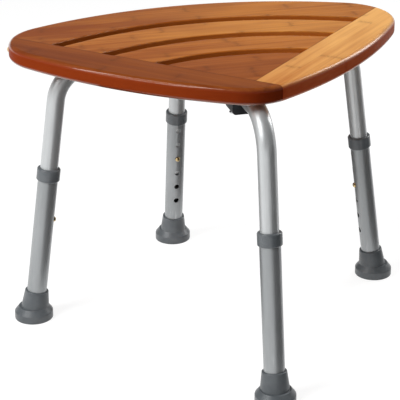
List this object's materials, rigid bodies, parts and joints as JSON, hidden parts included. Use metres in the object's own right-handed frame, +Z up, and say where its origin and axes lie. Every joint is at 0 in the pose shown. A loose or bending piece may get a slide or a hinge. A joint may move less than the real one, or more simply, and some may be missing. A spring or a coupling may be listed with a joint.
{
  "type": "corner shower stool",
  "caption": "Triangular corner shower stool: slatted bamboo seat with curved drain gaps on splayed, telescoping aluminium legs with snap-button locks and rubber tips.",
  "frame": {"origin": "on the floor, midway between the front and back feet and the left and right feet's outer edges", "axes": "+Z up from the floor; -Y towards the seat's right-angled corner (front); +Y towards its curved side; +X to the right"},
  "size_m": [0.5874, 0.6002, 0.416],
  "materials": {
    "bamboo": "gloss varnish",
    "bamboo_light": "gloss varnish",
    "dowel_wood": "bare",
    "aluminium_tube": "satin anodised",
    "grey_plastic": "satin",
    "grey_rubber": "matte",
    "black_plastic": "satin",
    "brass": "polished",
    "steel": "zinc plated"
  },
  "bodies": {
    "stool": {"button_spring_back": "steel", "button_spring_front": "steel", "button_spring_left": "steel", "button_spring_right": "steel", "corner_dowel": "dowel_wood", "inner_saddle_back": "black_plastic", "inner_saddle_front": "black_plastic", "inner_saddle_left": "black_plastic", "inner_saddle_right": "black_plastic", "inner_slat": "bamboo", "left_board": "bamboo", "outer_saddle_back": "black_plastic", "outer_saddle_front": "black_plastic", "outer_saddle_left": "black_plastic", "outer_saddle_right": "black_plastic", "outer_slat": "bamboo", "right_board": "bamboo_light", "saddle_screws": "steel", "second_slat": "bamboo", "slat_dowels": "dowel_wood", "third_slat": "bamboo", "tube_plug_back": "black_plastic", "tube_plug_front": "black_plastic", "tube_plug_left": "black_plastic", "tube_plug_right": "black_plastic", "upper_tube_back": "aluminium_tube", "upper_tube_front": "aluminium_tube", "upper_tube_left": "aluminium_tube", "upper_tube_right": "aluminium_tube"},
    "leg_front": {"lower_tube_front": "aluminium_tube", "tube_collar_front": "grey_plastic", "tip_washer_front": "steel", "rubber_tip_front": "grey_rubber"},
    "button_front": {"snap_button_front": "brass"},
    "leg_back": {"lower_tube_back": "aluminium_tube", "tube_collar_back": "grey_plastic", "tip_washer_back": "steel", "rubber_tip_back": "grey_rubber"},
    "button_back": {"snap_button_back": "brass"},
    "leg_left": {"lower_tube_left": "aluminium_tube", "tube_collar_left": "grey_plastic", "tip_washer_left": "steel", "rubber_tip_left": "grey_rubber"},
    "button_left": {"snap_button_left": "brass"},
    "leg_right": {"lower_tube_right": "aluminium_tube", "tube_collar_right": "grey_plastic", "tip_washer_right": "steel", "rubber_tip_right": "grey_rubber"},
    "button_right": {"snap_button_right": "brass"}
  },
  "joints": [
    {"name": "leg_front_slide", "type": "slide", "parent": "stool", "child": "leg_front", "axis": [0, -0.1478, -0.989], "range_m": [-0.0762, 0.0508], "deforming": ["snap_button_front"]},
    {"name": "button_front_press", "type": "slide", "parent": "stool", "child": "button_front", "axis": [0, -0.989, 0.1478], "range_m": [0, 0.0047], "stiffness_N_per_m": 1200, "springref_m": -0.003, "deforming": ["button_spring_front"]},
    {"name": "leg_back_slide", "type": "slide", "parent": "stool", "child": "leg_back", "axis": [0, 0.1478, -0.989], "range_m": [-0.0762, 0.0508], "deforming": ["snap_button_back"]},
    {"name": "button_back_press", "type": "slide", "parent": "stool", "child": "button_back", "axis": [0, 0.989, 0.1478], "range_m": [0, 0.0047], "stiffness_N_per_m": 1200, "springref_m": -0.003, "deforming": ["button_spring_back"]},
    {"name": "leg_left_slide", "type": "slide", "parent": "stool", "child": "leg_left", "axis": [-0.1357, 0, -0.9907], "range_m": [-0.0762, 0.0508], "deforming": ["snap_button_left"]},
    {"name": "button_left_press", "type": "slide", "parent": "stool", "child": "button_left", "axis": [-0.9907, 0, 0.1357], "range_m": [0, 0.0047], "stiffness_N_per_m": 1200, "springref_m": -0.003, "deforming": ["button_spring_left"]},
    {"name": "leg_right_slide", "type": "slide", "parent": "stool", "child": "leg_right", "axis": [0.1357, 0, -0.9907], "range_m": [-0.0762, 0.0508], "deforming": ["snap_button_right"]},
    {"name": "button_right_press", "type": "slide", "parent": "stool", "child": "button_right", "axis": [0.9907, 0, 0.1357], "range_m": [0, 0.0047], "stiffness_N_per_m": 1200, "springref_m": -0.003, "deforming": ["button_spring_right"]}
  ]
}
